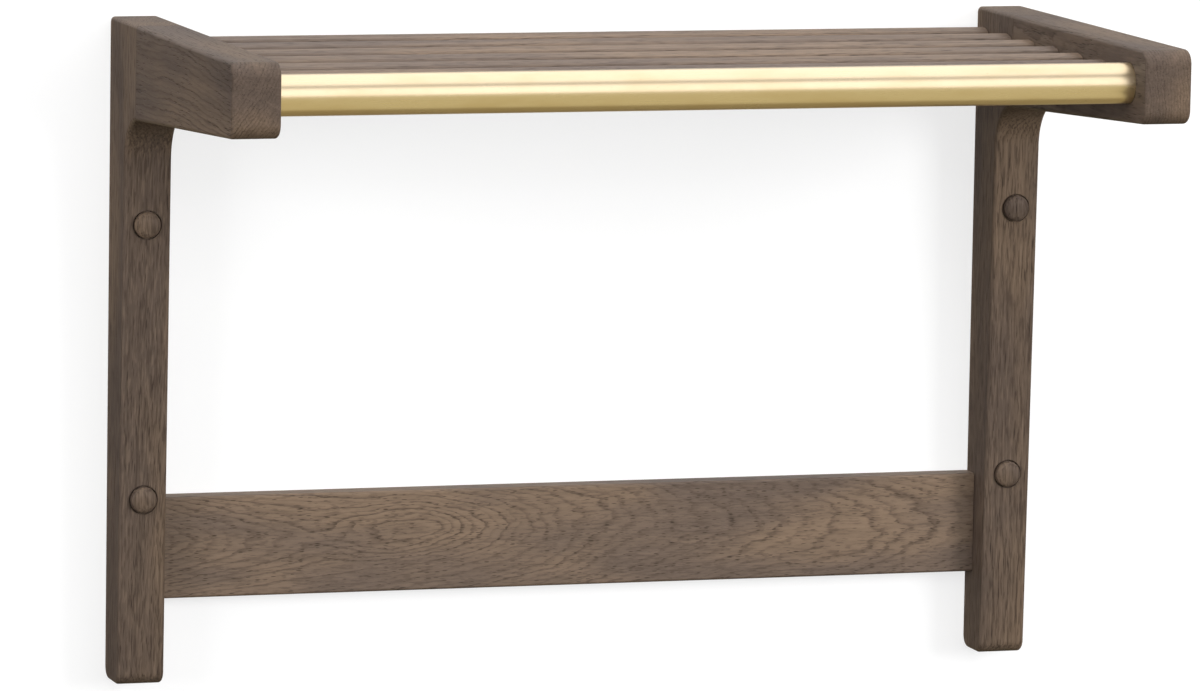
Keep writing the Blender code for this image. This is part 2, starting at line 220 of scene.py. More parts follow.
class Finish:
    """A material under construction, or the world's light."""

    def __init__(self, name, kind="materials"):
        self.made = getattr(bpy.data, kind).new(name)
        self.made.use_nodes = True
        self.tree = self.made.node_tree
        self.tree.nodes.clear()

    def node(self, kind, settings=None, values=None, out=0):
        """Adds a node, sets its settings, then its sockets; gives back one of its outputs."""
        added = self.tree.nodes.new(kind)
        for key, value in (settings or {}).items():
            if key == "stops":
                self._stops(added.color_ramp, value)
            else:
                setattr(added, key, value)
        for key, value in (values or {}).items():
            socket = added.inputs[key]
            if isinstance(value, Link):
                self.tree.links.new(value.socket, socket)
            else:
                socket.default_value = value
        return Link(self, added.outputs[out])

    def _stops(self, ramp, stops):
        while len(ramp.elements) < len(stops):
            ramp.elements.new(1.0)
        for element, (at, tint) in zip(ramp.elements, stops):
            element.position = at
            element.color = (*tint, 1.0)

    def attribute(self, name, out):
        return self.node("ShaderNodeAttribute", {"attribute_name": name}, out=out)

    def object_place(self):
        return self.node("ShaderNodeTexCoord", out="Object")

    def mix(self, amount, first, second, blend="MIX"):
        """Mixes two colours, given as links or as three numbers."""
        tints = {"Factor": amount}
        for key, tint in ((6, first), (7, second)):
            tints[key] = tint if isinstance(tint, Link) else (*tint, 1.0)
        return self.node("ShaderNodeMix", {"data_type": "RGBA", "blend_type": blend}, tints, 2)

    def maths(self, operation, *values):
        return self.node("ShaderNodeMath", {"operation": operation}, dict(enumerate(values)))

    def vector(self, operation, *values, out=0):
        return self.node("ShaderNodeVectorMath", {"operation": operation}, dict(enumerate(values)), out)

    def size(self, vector):
        return self.vector("LENGTH", vector, out="Value")

    def grain(self, place, stretch, detail=2.0, roughness=0.5, out=0):
        """Noise on coordinates that are stretched by three numbers first."""
        scaled = self.vector("MULTIPLY", place, stretch)
        values = {"Vector": scaled, "Scale": 1.0, "Detail": detail, "Roughness": roughness}
        return self.node("ShaderNodeTexNoise", {}, values, out)

    def sway(self, place, stretch, reach, detail, roughness):
        """A shift across the grain by noise, of up to half of reach each way."""
        cloud = self.grain(place, stretch, detail, roughness, "Color")
        centred = self.vector("SUBTRACT", cloud, (0.5, 0.5, 0.5))
        return self.vector("MULTIPLY", centred, (reach, reach, 0.0))

    def cells(self, place, stretch):
        """Distance from the middle of each cell; Color, beside it, is the cell's own."""
        scaled = self.vector("MULTIPLY", place, stretch)
        return self.node("ShaderNodeTexVoronoi", {}, {"Vector": scaled, "Scale": 1.0})

    def bump(self, height, strength, distance):
        values = {"Height": height, "Strength": strength, "Distance": distance}
        return self.node("ShaderNodeBump", {}, values)

    def surface(self, linked, plain):
        """Ends the material in a Principled shader; linked values vary and plain ones don't."""
        return self.end(self.node("ShaderNodeBsdfPrincipled", {}, {**plain, **linked}))

    def end(self, shader, kind="ShaderNodeOutputMaterial"):
        output = self.tree.nodes.new(kind)
        self.tree.links.new(shader.socket, output.inputs["Surface"])
        return self.made


def named(group):
    return getattr(bpy.context.scene, "rack_" + group)


def kept(name, make, **look):
    """A material by name, made the first time that it is asked for."""
    return bpy.data.materials.get(name) or make(name, **look)


# --- finishes ---

# how many of each come in a metre of oak: twice across the grain, then along it
WANDER = (6, 6, 4.2)
RIPPLE = (130, 130, 26)
VESSELS = (1500, 1500, 85)
FIBRES = (1500, 1500, 22)
STREAKS = (260, 260, 5)
PATCHES = (22, 22, 5.5)
FLECKS = (820, 820, 66)
RAYS_ROUND = 130.0  # rays in a radian round the axis
RAYS_ALONG = 60.0   # and how often they break off in a metre
YEAR = 0.0021       # growth of one year
SWING = 0.020       # how far the log's axis wanders
SHIVER = 0.0045     # how far its rings ripple
KNOT = (0.0, 0.004, 9.2)  # where a branch left the log; only the rail is sawn through it
KNOT_SPREAD = (0.0, 38.0, 13.0)  # one over how far the bulge round it reaches
KNOT_RISE = 0.011  # height of that bulge


def smoked_oak(name, paleness=1.0, figure=0.36, mottle=1.0, shine=0.22):
    """Oak as a solid: rings round a log's axis, pores along it and rays across it.

    paleness multiplies its colour, figure darkens its rings, mottle strengthens its flecks.
    """
    tints = named("finishes")
    f = Finish(name)
    place = f.attribute(TIMBER, "Vector")
    wear = f.attribute(WEAR, "Fac")
    # the log isn't straight: its axis wanders, and its rings ripple
    swing = f.sway(place, WANDER, SWING, 2.0, 0.5)
    shiver = f.sway(place, RIPPLE, SHIVER, 3.0, 0.55)
    bent = f.vector("ADD", f.vector("ADD", place, swing), shiver)
    radius = f.size(f.vector("MULTIPLY", bent, (1.0, 1.0, 0.0)))
    # the rings bulge round the place where the branch left
    away = f.vector("MULTIPLY", f.vector("SUBTRACT", bent, KNOT), KNOT_SPREAD)
    bulge = f.size(away).ramp(1.0, 0.0)
    ring = (radius - bulge * KNOT_RISE) / YEAR
    within = f.maths("FRACT", ring)
    year = f.node("ShaderNodeTexWhiteNoise", {"noise_dimensions": "1D"}, {"W": f.maths("FLOOR", ring)})
    early = within.ramp(0.62, 0.0) * within.ramp(0.0, 0.18) * (0.35 + 0.65 * year)
    # vessels: long thin pores, crowded in the early wood
    cells = f.cells(place, VESSELS)
    pick = f.node("ShaderNodeSeparateColor", {}, {0: cells.beside("Color")})
    crowd = early * 0.85 + 0.10
    pores = cells.ramp(0.46, 0.20) * (crowd - pick).ramp(-0.06, 0.06)
    fibres = f.grain(place, FIBRES, 3.0, 0.6)
    streaks = f.grain(place, STREAKS, 3.0, 0.55)
    patches = f.grain(place, PATCHES)
    flecks = f.grain(place, FLECKS, 2.0, 0.55)
    # rays: thin plates that run out from the axis
    across = f.node("ShaderNodeSeparateXYZ", {}, {0: bent})
    angle = f.maths("ARCTAN2", across.beside("Y"), across)
    turn, out, along = angle * RAYS_ROUND, radius * RAYS_ALONG, across.beside("Z") * RAYS_ALONG
    plates = f.node("ShaderNodeCombineXYZ", {}, {0: turn, 1: out, 2: along})
    rays = f.node("ShaderNodeTexNoise", {}, {"Vector": plates, "Scale": 1.0, "Detail": 1.0})
    # colour, from the broadest feature to the finest
    body = f.mix(patches.ramp(0.38, 0.64), tints.oak_grey, tints.oak_warm)
    body = f.mix(early * (figure + 0.40 * patches.ramp(0.35, 0.65)), body, tints.oak_dark)
    tone = (0.38 + fibres * 0.40 + streaks * 0.62 + patches * 0.22) * 0.86 * paleness
    grey = f.node("ShaderNodeCombineColor", {}, {0: tone, 1: tone, 2: tone})
    body = f.mix(1.0, body, grey, "MULTIPLY")
    body = f.mix(flecks.ramp(0.545, 0.605) * (0.66 * mottle), body, tints.oak_dark)
    body = f.mix(flecks.ramp(0.46, 0.34) * (0.26 * mottle), body, tints.oak_pale)
    body = f.mix(rays.ramp(0.60, 0.72) * 0.16, body, tints.oak_ray)
    body = f.mix(pores * 0.76, body, tints.oak_pore)
    rubbed = wear * (0.35 + 0.65 * streaks.ramp(0.35, 0.65))
    body = f.mix(rubbed * 0.22, body, tints.oak_worn)
    rough = tints.gloss + 0.22 * pores + 0.10 * early - 0.07 * rubbed + 0.12 * (fibres - 0.5)
    height = fibres * 0.30 + streaks * 0.25 - pores * 1.0 - early * 0.30
    return f.surface({"Base Color": body, "Roughness": rough, "Normal": f.bump(height, 0.55, 0.00022)},
                     {"IOR": 1.47, "Specular IOR Level": shine})


def upright_oak():
    """Lively boards, with bold flecks."""
    return kept("smoked oak", smoked_oak)


def arm_oak():
    """Even boards, with calmer flecks."""
    return kept("quiet smoked oak", smoked_oak, figure=0.56, mottle=0.42)


def shelf_oak():
    """Boards from a paler log, for the rail and the slats."""
    return kept("pale smoked oak", smoked_oak, paleness=1.46, figure=0.46, mottle=0.50, shine=0.42)


def satin_brass(name):
    """Drawn brass tube, polished, with faint die lines and a little tarnish."""
    tints = named("finishes")
    f = Finish(name)
    place = f.object_place()
    lines = f.grain(place, (7, 3800, 3800), 2.0, 0.6)
    cloud = f.grain(place, (18, 60, 60), 3.0, 0.6)
    specks = f.grain(place, (420, 900, 900)).ramp(0.68, 0.80)
    deep = dimmed(tints.brass, (0.86, 0.80, 0.66))
    tone = f.mix(cloud.ramp(0.42, 0.75) * 0.45, tints.brass, deep)
    tone = f.mix(specks * 0.25, tone, tints.tarnish)
    rough = 0.250 + 0.10 * (cloud - 0.4) + 0.05 * lines + 0.12 * specks
    height = lines * 0.6 + cloud * 0.4
    return f.surface({"Base Color": tone, "Roughness": rough, "Normal": f.bump(height, 0.06, 0.00006)},
                     {"Metallic": 1.0})


def raw_beech(name):
    """Turned beech, with its short dark flecks."""
    tints = named("finishes")
    f = Finish(name)
    place = f.attribute(TIMBER, "Vector")
    flecks = f.cells(place, (1500, 1500, 480)).ramp(0.30, 0.12)
    fibres = f.grain(place, (1300, 1300, 40), 3.0, 0.6)
    body = f.mix(fibres.ramp(0.3, 0.7), dimmed(tints.beech, (0.82, 0.82, 0.82)), tints.beech)
    body = f.mix(flecks * 0.5, body, dimmed(tints.beech, (0.42, 0.42, 0.42)))
    return f.surface({"Base Color": body, "Roughness": 0.58 + 0.15 * fibres,
                      "Normal": f.bump(fibres - flecks, 0.4, 0.00012)}, {})


def zinc_steel(name):
    """Blue-passivated zinc on steel, with a faint yellow cast in places."""
    tints = named("finishes")
    f = Finish(name)
    place = f.object_place()
    cloud = f.grain(place, (240, 240, 240), 3.0, 0.6)
    fine = f.grain(place, (2600, 2600, 2600))
    body = f.mix(cloud.ramp(0.40, 0.66), tints.zinc, dimmed(tints.zinc, (1.0, 0.95, 0.80)))
    return f.surface({"Base Color": body, "Roughness": 0.26 + 0.16 * cloud,
                      "Normal": f.bump(fine, 0.15, 0.00008)}, {"Metallic": 1.0})


def dimmed(tint, shares):
    return tuple(level * part for level, part in zip(tint, shares))


# --- mesh making ---

def box_of(node):
    low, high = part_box(node)
    return low, high, (low + high) / 2


def lies_along(node, axis):
    """Middle, half-length and radius of a round CAD node that lies along X or Y."""
    low, high, middle = box_of(node)
    size = high - low
    span, across = (size.x, size.y) if axis == "X" else (size.y, size.x)
    return middle, span / 2, across / 2


def placed(name, data):
    """A new object in the scene."""
    ob = bpy.data.objects.new(name, data)
    bpy.context.scene.collection.objects.link(ob)
    return ob


def add_piece(name, bm, material, node, log=None, angle=32.0):
    """Turns a bmesh into a finished piece that stands for a CAD node."""
    bmesh.ops.recalc_face_normals(bm, faces=bm.faces)
    mesh = bpy.data.meshes.new(name)
    bm.to_mesh(mesh)
    bm.free()
    mesh.materials.append(material)
    mesh.shade_smooth()
    mesh.set_sharp_from_angle(angle=radians(angle))
    if log is not None:
        write_timber(mesh, log)
    ob = placed(name, mesh)
    weighted = ob.modifiers.new("even flats", "WEIGHTED_NORMAL")
    weighted.keep_sharp = True
    weighted.weight = 90
    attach(ob, "root")
    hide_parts(node)


def write_timber(mesh, log):
    """Stores where each point sat in the log: two numbers across it and one along it."""
    layer = mesh.attributes.new(TIMBER, "FLOAT_VECTOR", "POINT")
    values = []
    for vertex in mesh.vertices:
        values.extend(log @ vertex.co)
    layer.data.foreach_set("vector", values)


# where each board was sawn: its grain's direction, then offset, tilt and turn as for in_log
BOARDS = {
    "upright_left": ("Z", (0.395, 0.110, 0.30), (0.012, -0.02), 0.35),
    "upright_right": ("Z", (-0.190, 0.160, 1.62), (-0.016, 0.01), -0.25),
    "arm_left": ("Y", (0.5025, -0.430, 2.0), (0.004, 0.006)),
    "arm_right": ("Y", (-0.035, -0.275, 3.1), (-0.006, 0.008)),
    "wall_rail": ("X", (0.066, -0.004, 9.3), (0.0, 0.12)),
}


def in_log(along, offset, tilt, turn=0.0):
    """Matrix from frame to log coordinates, for a piece whose grain runs along X, Y or Z.

    offset is where the frame's origin lies in the log; tilt leans the grain; turn spins it.
    """
    x, y, z = (1, 0, 0), (0, 1, 0), (0, 0, 1)
    basis = Matrix({"X": (y, z, x), "Y": (x, z, y), "Z": (x, y, z)}[along]).to_4x4()
    lean = Matrix.Rotation(tilt[0], 4, "X") @ Matrix.Rotation(tilt[1], 4, "Y")
    spin = Matrix.Rotation(turn, 4, "Z")
    return Matrix.Translation(Vector(offset)) @ spin @ lean @ basis


def round_edges(bm, edges, radius, segments=6):
    bmesh.ops.bevel(bm, geom=edges, offset=radius, offset_type="OFFSET", segments=segments,
                    profile=0.5, affect="EDGES", clamp_overlap=True)


def along_x(edge):
    return abs(edge.verts[0].co.x - edge.verts[1].co.x)


def prism(outline, *ends):
    """Extrudes a closed outline of (y, z) points from one X to another."""
    bm = bmesh.new()
    low, high = ([bm.verts.new((x, y, z)) for y, z in outline] for x in ends)
    bm.faces.new(low)
    bm.faces.new(list(reversed(high)))
    skin(bm, low, high)
    bmesh.ops.recalc_face_normals(bm, faces=bm.faces)
    return bm


def skin(bm, first, second):
    """A band of four-sided faces between two rings of as many points."""
    for k in range(len(first)):
        n = (k + 1) % len(first)
        bm.faces.new((first[k], first[n], second[n], second[k]))


def wheel(segments):
    """Cosine and sine of each step round a circle."""
    turns = [2 * pi * k / segments for k in range(segments)]
    return [(cos(a), sin(a)) for a in turns]


def turned(profile, segments, axis, place, outline=None):
    """A body of revolution from (radius, height) points, bottom to top, along an axis.

    outline gives a factor on the radius for each of the segments, as for flutes.
    """
    bm = bmesh.new()
    rings = []
    for radius, height in profile:
        if radius < TINY:
            rings.append([bm.verts.new((0, 0, height))])
            continue
        radii = [radius * part for part in outline or [1.0] * segments]
        rings.append([bm.verts.new((r * c, r * s, height))
                      for r, (c, s) in zip(radii, wheel(segments))])
    for low, high in zip(rings, rings[1:]):
        for k in range(segments):
            n = (k + 1) % segments
            corners = [low[k % len(low)], low[n % len(low)], high[n % len(high)], high[k % len(high)]]
            unique = list(dict.fromkeys(corners))
            if len(unique) > 2:
                bm.faces.new(unique)
    for ring in (rings[0], rings[-1]):
        if len(ring) > 1:
            bm.faces.new(ring)
    degrees, about = {"X": (90, "Y"), "Y": (-90, "X"), "-Y": (90, "X")}[axis]
    turn = Matrix.Rotation(radians(degrees), 4, about)
    bmesh.ops.transform(bm, matrix=Matrix.Translation(Vector(place)) @ turn, verts=bm.verts)
    bmesh.ops.recalc_face_normals(bm, faces=bm.faces)
    return bm


def block(low, high):
    bm = bmesh.new()
    bmesh.ops.create_cube(bm, size=1.0)
    low, high = Vector(low), Vector(high)
    bmesh.ops.scale(bm, vec=high - low, verts=bm.verts)
    bmesh.ops.translate(bm, vec=(low + high) / 2, verts=bm.verts)
    return bm


def hollowed(bm, cutters):
    """The blank less a set of separate closed cutters, with its softened edges marked as worn."""
    wear = {rounded(v.co): edge_wear(v) for v in bm.verts}
    blank = bpy.data.meshes.new("blank")
    bm.to_mesh(blank)
    bm.free()
    tool = bpy.data.meshes.new("tool")
    joined = bmesh.new()
    for cutter in cutters:
        cutter.to_mesh(tool)
        cutter.free()
        joined.from_mesh(tool)
    joined.to_mesh(tool)
    joined.free()
    ob, knife = placed("blank", blank), placed("knife", tool)
    cut = ob.modifiers.new("cut", "BOOLEAN")
    cut.operation = "DIFFERENCE"
    cut.solver = "EXACT"
    cut.object = knife
    graph = bpy.context.evaluated_depsgraph_get()
    result = bpy.data.meshes.new_from_object(ob.evaluated_get(graph))
    out = bmesh.new()
    out.from_mesh(result)
    bpy.data.objects.remove(ob)
    bpy.data.objects.remove(knife)
    for mesh in (blank, tool, result):
        bpy.data.meshes.remove(mesh)
    layer = out.verts.layers.float.new(WEAR)
    for v in out.verts:
        v[layer] = wear.get(rounded(v.co), 0.0)
    return out


def rounded(co):
    """A key for a point, to the nearest micrometre."""
    return tuple(round(c * 1e6) for c in co)


def rubbed_share(amount):
    """0 until a point is well round an edge, then up to 1 halfway round it."""
    start = 0.35
    return max(0.0, (amount - start) / (1 - start))


def edge_wear(vertex):
    """1 halfway round a softened edge that runs across X, 0 on the flats beside it."""
    across = abs(vertex.normal.x)
    return min(1.0, rubbed_share(2 * across * sqrt(max(0.0, 1 - across * across))))


def corner_arc(before, corner, after, radius, steps):
    """Points of the arc that rounds a corner between two straight lines."""
    b, c, a = Vector(before), Vector(corner), Vector(after)
    into = (b - c).normalized()
    out = (a - c).normalized()
    half = into.angle(out) / 2
    centre = c + (into + out).normalized() * (radius / sin(half))
    start = c + into * (radius / tan(half)) - centre
    end = c + out * (radius / tan(half)) - centre
    angle = start.angle(end)
    points = []
    for k in range(steps + 1):
        t = k / steps
        spoke = start * sin((1 - t) * angle) + end * sin(t * angle)
        points.append(tuple(centre + spoke / sin(angle)))
    return points


# --- brackets ---

def bracket_outline():
    """Side view of a whole bracket as (y, z) points, from the frame's own boxes."""
    sizes = named("bracket")
    low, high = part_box("upright_left")
    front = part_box("arm_left")[0].y
    top, foot = high.z, low.z
    crown, tip_top = (0.0, top), (front, top)
    tip_low = (front, top - sizes.tip_height)
    inner = (-sizes.top_depth, top - sizes.root_height)
    foot_front, foot_back = (-sizes.foot_depth, foot), (0.0, foot)
    corners = (crown, tip_top, tip_low, inner, foot_front, foot_back)
    tip, foot_round = (sizes.tip_radius, 14), (sizes.foot_radius, 12)
    rounding = ((sizes.crown_radius, 6), tip, tip, (sizes.cove_radius, 28), foot_round, foot_round)
    outline = []
    for k, (radius, steps) in enumerate(rounding):
        outline += corner_arc(corners[k - 1], corners[k], corners[(k + 1) % 6], radius, steps)
    return outline


def bracket_part(side, joint, behind):
    """One side of the corner joint of a bracket, its edges rounded and its joint face flat."""
    low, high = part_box("upright_" + side)
    bm = prism(bracket_outline(), low.x, high.x)
    rim = [e for e in bm.edges if along_x(e) < TINY]
    round_edges(bm, rim, named("bracket").edge_radius)
    bmesh.ops.bisect_plane(bm, geom=[*bm.verts, *bm.edges, *bm.faces], plane_co=(0, joint, 0),
                           plane_no=(0, 1, 0), clear_inner=behind, clear_outer=not behind)
    open_rim = [e for e in bm.edges if len(e.link_faces) == 1]
    bmesh.ops.holes_fill(bm, edges=open_rim, sides=0)
    bm.normal_update()
    return bm


def round_bore(node, axis, segments=28):
    """A round cutter for a CAD node that lies along X or Y."""
    middle, half, radius = lies_along(node, axis)
    half += BORE_END
    return turned([(radius + GAP, -half), (radius + GAP, half)], segments, axis, middle)


def corner_bores(side):
    return [round_bore("corner_dowel_%s_%s" % (side, place), "Y") for place in PLACES]


def rail_bores(side):
    return [round_bore("rail_dowel_%s_%s" % (side, place), "X") for place in PLACES]


def mortise(node):
    """A cutter for a slat's two stub tenons."""
    sizes = named("shelf")
    low, high, middle = box_of(node)
    y, z = sizes.tenon_width / 2 + GAP, sizes.tenon_height / 2 + GAP
    return block((low.x - 2 * GAP, middle.y - y, middle.z - z),
                 (high.x + 2 * GAP, middle.y + y, middle.z + z))


def screw_bore(side, place):
    """Recess for the plug's head, bore for its shank and clearance hole for the screw."""
    sizes = named("fixing")
    low, high, middle = box_of("plug_%s_%s" % (side, place))
    screw_top = -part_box("wall_screw_%s_%s" % (side, place))[0].y
    head = (high.x - low.x) / 2 + sizes.recess_room
    under = recess_floor(side, place)
    past_front = under + 0.02
    bore = sizes.shank / 2 + GAP
    hole = sizes.screw / 2 + GAP
    seat = min(-high.y, screw_top) - sizes.head_room
    profile = [(hole, -OVERCUT), (hole, seat), (bore, seat), (bore, under), (head, under),
               (head, past_front)]
    return turned(profile, 56, "-Y", (middle.x, 0, middle.z))


def recess_floor(side, place):
    """How far from the wall the floor of a plug's recess lies."""
    sizes = named("bracket")
    middle = box_of("plug_%s_%s" % (side, place))[2]
    foot, top = (corner.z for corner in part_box("upright_left"))
    fall = (top - middle.z - sizes.root_height) / (top - foot - sizes.root_height)
    depth = sizes.top_depth + (sizes.foot_depth - sizes.top_depth) * fall
    return depth - named("fixing").recess_depth


def make_upright(side):
    """A rift-sawn board, so its front shows long straight grain."""
    node = "upright_" + side
    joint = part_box(node)[0].y
    cutters = [mortise(n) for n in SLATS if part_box(n)[1].y > joint]
    cutters += [screw_bore(side, place) for place in PLACES]
    cutters += corner_bores(side) + rail_bores(side)
    bm = hollowed(bracket_part(side, joint, True), cutters)
    add_piece("oak_" + node, bm, upright_oak(), node, in_log(*BOARDS[node]))


def make_arm(side):
    """A board from far out in the log, so its end shows nearly straight rings."""
    node = "arm_" + side
    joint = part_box(node)[1].y
    cutters = [mortise(n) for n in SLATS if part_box(n)[0].y < joint]
    cutters += corner_bores(side) + [round_bore("hanging_tube", "X", 96)]
    bm = hollowed(bracket_part(side, joint, False), cutters)
    add_piece("oak_" + node, bm, arm_oak(), node, in_log(*BOARDS[node]))


# --- shelf ---

def slat_section(sizes, half, height):
    """A slat's outline as (y, z) points round its middle, crowned on top."""
    top = height / 2
    shoulder = top - sizes.crown - sizes.edge
    steps, across_steps, under_steps = 8, 12, 4
    points = []
    for k in range(steps + 1):
        a = pi / 2 * k / steps
        points.append((half - sizes.edge * (1 - cos(a)), shoulder + sizes.edge * sin(a)))
    flat = half - sizes.edge
    for k in range(1, across_steps):
        across = flat * (1 - 2 * k / across_steps)
        points.append((across, top - sizes.crown * (across / flat) ** 2))
    points += [(-p, q) for p, q in reversed(points[:steps + 1])]
    soft = sizes.edge / 2
    for corner in (-1, 1):
        for k in range(under_steps + 1):
            turn = k / under_steps
            a = pi / 2 * (turn if corner < 0 else 1 - turn)
            points.append((corner * (half - soft * (1 - cos(a))), soft - top - soft * sin(a)))
    return points


def make_slat(node, number):
    """A bar with plane marks along its top and a stub tenon at each end."""
    sizes = named("shelf")
    low, high, middle = box_of(node)
    half, height = (high.y - low.y) / 2, high.z - low.z
    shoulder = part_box("wall_rail")[1].x
    section = slat_section(sizes, half, height)
    stations, marks_along, marks_across, next_slat = 72, 55, 30, 7.3
    bm = bmesh.new()
    layer = bm.verts.layers.float.new(WEAR)
    rings = []
    for s in range(stations + 1):
        x = shoulder * (2 * s / stations - 1)
        ring = []
        for p, q in section:
            at = Vector((x * marks_along, number * next_slat + p * marks_across, 0.0))
            mark = noise.noise(at) if q > 0 else 0.0
            dip = sizes.ripple * (1 + mark) / 2 * max(0.0, q) / height * 2
            vert = bm.verts.new((x, middle.y + p, middle.z + q - dip))
            vert[layer] = 0.9 if q > 0 and abs(p) > half - sizes.edge else 0.0
            ring.append(vert)
        rings.append(ring)
    for first, second in zip(rings, rings[1:]):
        skin(bm, first, second)
    add_tenon(bm, rings[0], middle, low.x)
    add_tenon(bm, rings[-1], middle, high.x)
    # each slat lies elsewhere in the log
    log = in_log("X", (0.35 + 0.061 * number, 0.10 - 0.29 + 0.013 * (number % 3), 0.83 * number),
                 (0.004 * (number % 3 - 1), 0.006), 0.5 * number)
    add_piece("oak_" + node, bm, shelf_oak(), node, log)


def add_tenon(bm, rim, middle, end_x):
    """Closes one end of a slat with a flat shoulder and a stub tenon."""
    sizes = named("shelf")
    x = rim[0].co.x
    half_y, half_z = sizes.tenon_width / 2, sizes.tenon_height / 2
    corners = [(-half_y, -half_z), (half_y, -half_z), (half_y, half_z), (-half_y, half_z)]
    foot, tip = ([bm.verts.new((at, middle.y + p, middle.z + q)) for p, q in corners]
                 for at in (x, end_x))

    def bearing_of(v):
        return atan2(v.co.z - middle.z, v.co.y - middle.y)
    rim, inner = sorted(rim, key=bearing_of), sorted(foot, key=bearing_of)
    nearest = [min(range(4), key=lambda k: (inner[k].co - v.co).length) for v in rim]
    for i, first in enumerate(rim):
        j = (i + 1) % len(rim)
        a, b = nearest[i], nearest[j]
        bm.faces.new([first, rim[j], inner[b]] if a == b else [first, rim[j], inner[b], inner[a]])
    skin(bm, foot, tip)
    bm.faces.new(tip)


def make_tube():
    """A drawn tube with a real bore and slightly broken ends."""
    middle, half, outer = lies_along("hanging_tube", "X")
    inner = outer - named("shelf").tube_wall
    soft, stations, segments = 0.0004, 24, 112
    profile = [(outer - soft, -half), (outer, soft - half)]
    profile += [(outer, half * (2 * k / stations - 1)) for k in range(1, stations)]
    profile += [(outer, half - soft), (outer - soft, half)]
    profile += [(inner + soft, half), (inner, half - soft), (inner, soft - half), (inner + soft, -half)]
    bm = bmesh.new()
    rings = [[bm.verts.new((middle.x + x, middle.y + r * c, middle.z + r * s))
              for c, s in wheel(segments)] for r, x in profile]
    for first, second in zip(rings, rings[1:] + rings[:1]):
        skin(bm, first, second)
    add_piece("brass_tube", bm, kept("satin brass", satin_brass), "hanging_tube")


def make_rail():
    """A flat-sawn board with softened long edges and dowel holes in its ends."""
    bm = block(*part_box("wall_rail"))
    long_edges = [e for e in bm.edges if along_x(e) > TINY]
    round_edges(bm, long_edges, named("shelf").rail_edge)
    out = hollowed(bm, [bore for side in SIDES for bore in rail_bores(side)])
    layer = out.verts.layers.float[WEAR]
    for v in out.verts:
        on_end = abs(v.normal.x) > 0.1
        v[layer] = 0.0 if on_end else rubbed_share(abs(v.normal.z) * abs(v.normal.y) * 2)
    log = in_log(*BOARDS["wall_rail"])
    add_piece("oak_wall_rail", out, shelf_oak(), "wall_rail", log)


# --- fixings ---

def make_plug(side, place, number):
    """A mushroom-headed button: domed face, softened rim and a shank glued in the bore."""
    sizes = named("fixing")
    node = "plug_%s_%s" % (side, place)
    low, high, middle = box_of(node)
    head, shank = (high.x - low.x) / 2, sizes.shank / 2
    back, crown = -high.y, -low.y
    under = recess_floor(side, place) + GAP
    chamfer, rim, steps = 0.0006, 0.0004, 14
    profile = [(0.0, back), (shank - chamfer, back), (shank, back + chamfer), (shank, under),
               (head - rim, under), (head, under + rim)]
    for k in range(steps):
        a = pi / 2 * k / steps
        profile.append((head * cos(a) ** 0.8, crown - sizes.plug_dome * (1 - sin(a))))
    profile.append((0.0, crown))
    bm = turned(profile, 72, "-Y", (middle.x, 0, middle.z))
    layer = bm.verts.layers.float.new(WEAR)
    for v in bm.verts:
        out = hypot(v.co.x - middle.x, v.co.z - middle.z) / head
        v[layer] = max(0.0, 1 - abs(out - 0.55) * 4) if v.co.y < -under else 0.0
    log = in_log("Z", (0.21 + 0.07 * number, 0.16, 0.4 * number), (0.03, 0.02), 0.8 * number)
    add_piece("oak_" + node, bm, upright_oak(), node, log)


def thread_profile(phase):
    """Height of the thread, 0 to 1, at a phase from one crest to the next."""
    distance = abs(phase - floor(phase) - 0.5) * 2
    flat = 0.45
    return max(0.0, (distance - flat) / (1 - flat)) ** 0.8


def screw_radii(sizes, from_seat, to_tip):
    """Radius of a screw's body and the height of its thread, at a place along it."""
    core, outer = sizes.core / 2, sizes.screw / 2
    fade, run_in, neck_share, tip_share = 0.006, 0.003, 0.88, 0.06
    body = core * (tip_share + (1 - tip_share) * min(1.0, to_tip / sizes.point) ** 0.85)
    if from_seat < sizes.neck:
        body = max(body, outer * neck_share)
    starts = min(1.0, max(0.0, (from_seat - sizes.neck) / run_in))
    return body, (outer - core) * min(1.0, to_tip / fade) * starts


def make_screw(side, place):
    """A wood screw with a rolled thread, a pan head and a cross recess."""
    sizes = named("fixing")
    node = "wall_screw_%s_%s" % (side, place)
    low, high, middle = box_of(node)
    tip, top = high.y, low.y
    head = (high.x - low.x) / 2
    seat = top + sizes.head_height
    segments, rows_per_pitch = 28, 9
    rows = int((tip - seat) / sizes.pitch * rows_per_pitch)
    # the head's radius as a share of its width, and height as a share of its height
    stations = [[(head * wide, seat - sizes.head_height * tall) for _ in range(segments)]
                for wide, tall in ((0.5, 1.0), (0.75, 0.95), (0.93, 0.78), (1.0, 0.5), (1.0, 0.0))]
    for r in range(rows + 1):
        y = seat + (tip - seat) * r / rows
        body, reach = screw_radii(sizes, y - seat, tip - y)
        stations.append([(body + reach * thread_profile(y / sizes.pitch - k / segments), y)
                         for k in range(segments)])
    bm = bmesh.new()
    rings = [[bm.verts.new((middle.x + r * c, y, middle.z + r * s))
              for (r, y), (c, s) in zip(station, wheel(segments))] for station in stations]
    for first, second in zip(rings, rings[1:]):
        skin(bm, first, second)
    bm.faces.new(rings[0])
    bm.faces.new(rings[-1])
    bmesh.ops.recalc_face_normals(bm, faces=bm.faces)
    arm, half = head * 0.52, 0.00055
    for across, tall, deep in ((arm, half, 0.0017), (half, arm, 0.0016)):
        bm = hollowed(bm, [block((middle.x - across, top - 0.001, middle.z - tall),
                                 (middle.x + across, top + deep, middle.z + tall))])
    add_piece("steel_" + node, bm, kept("zinc steel", zinc_steel), node)


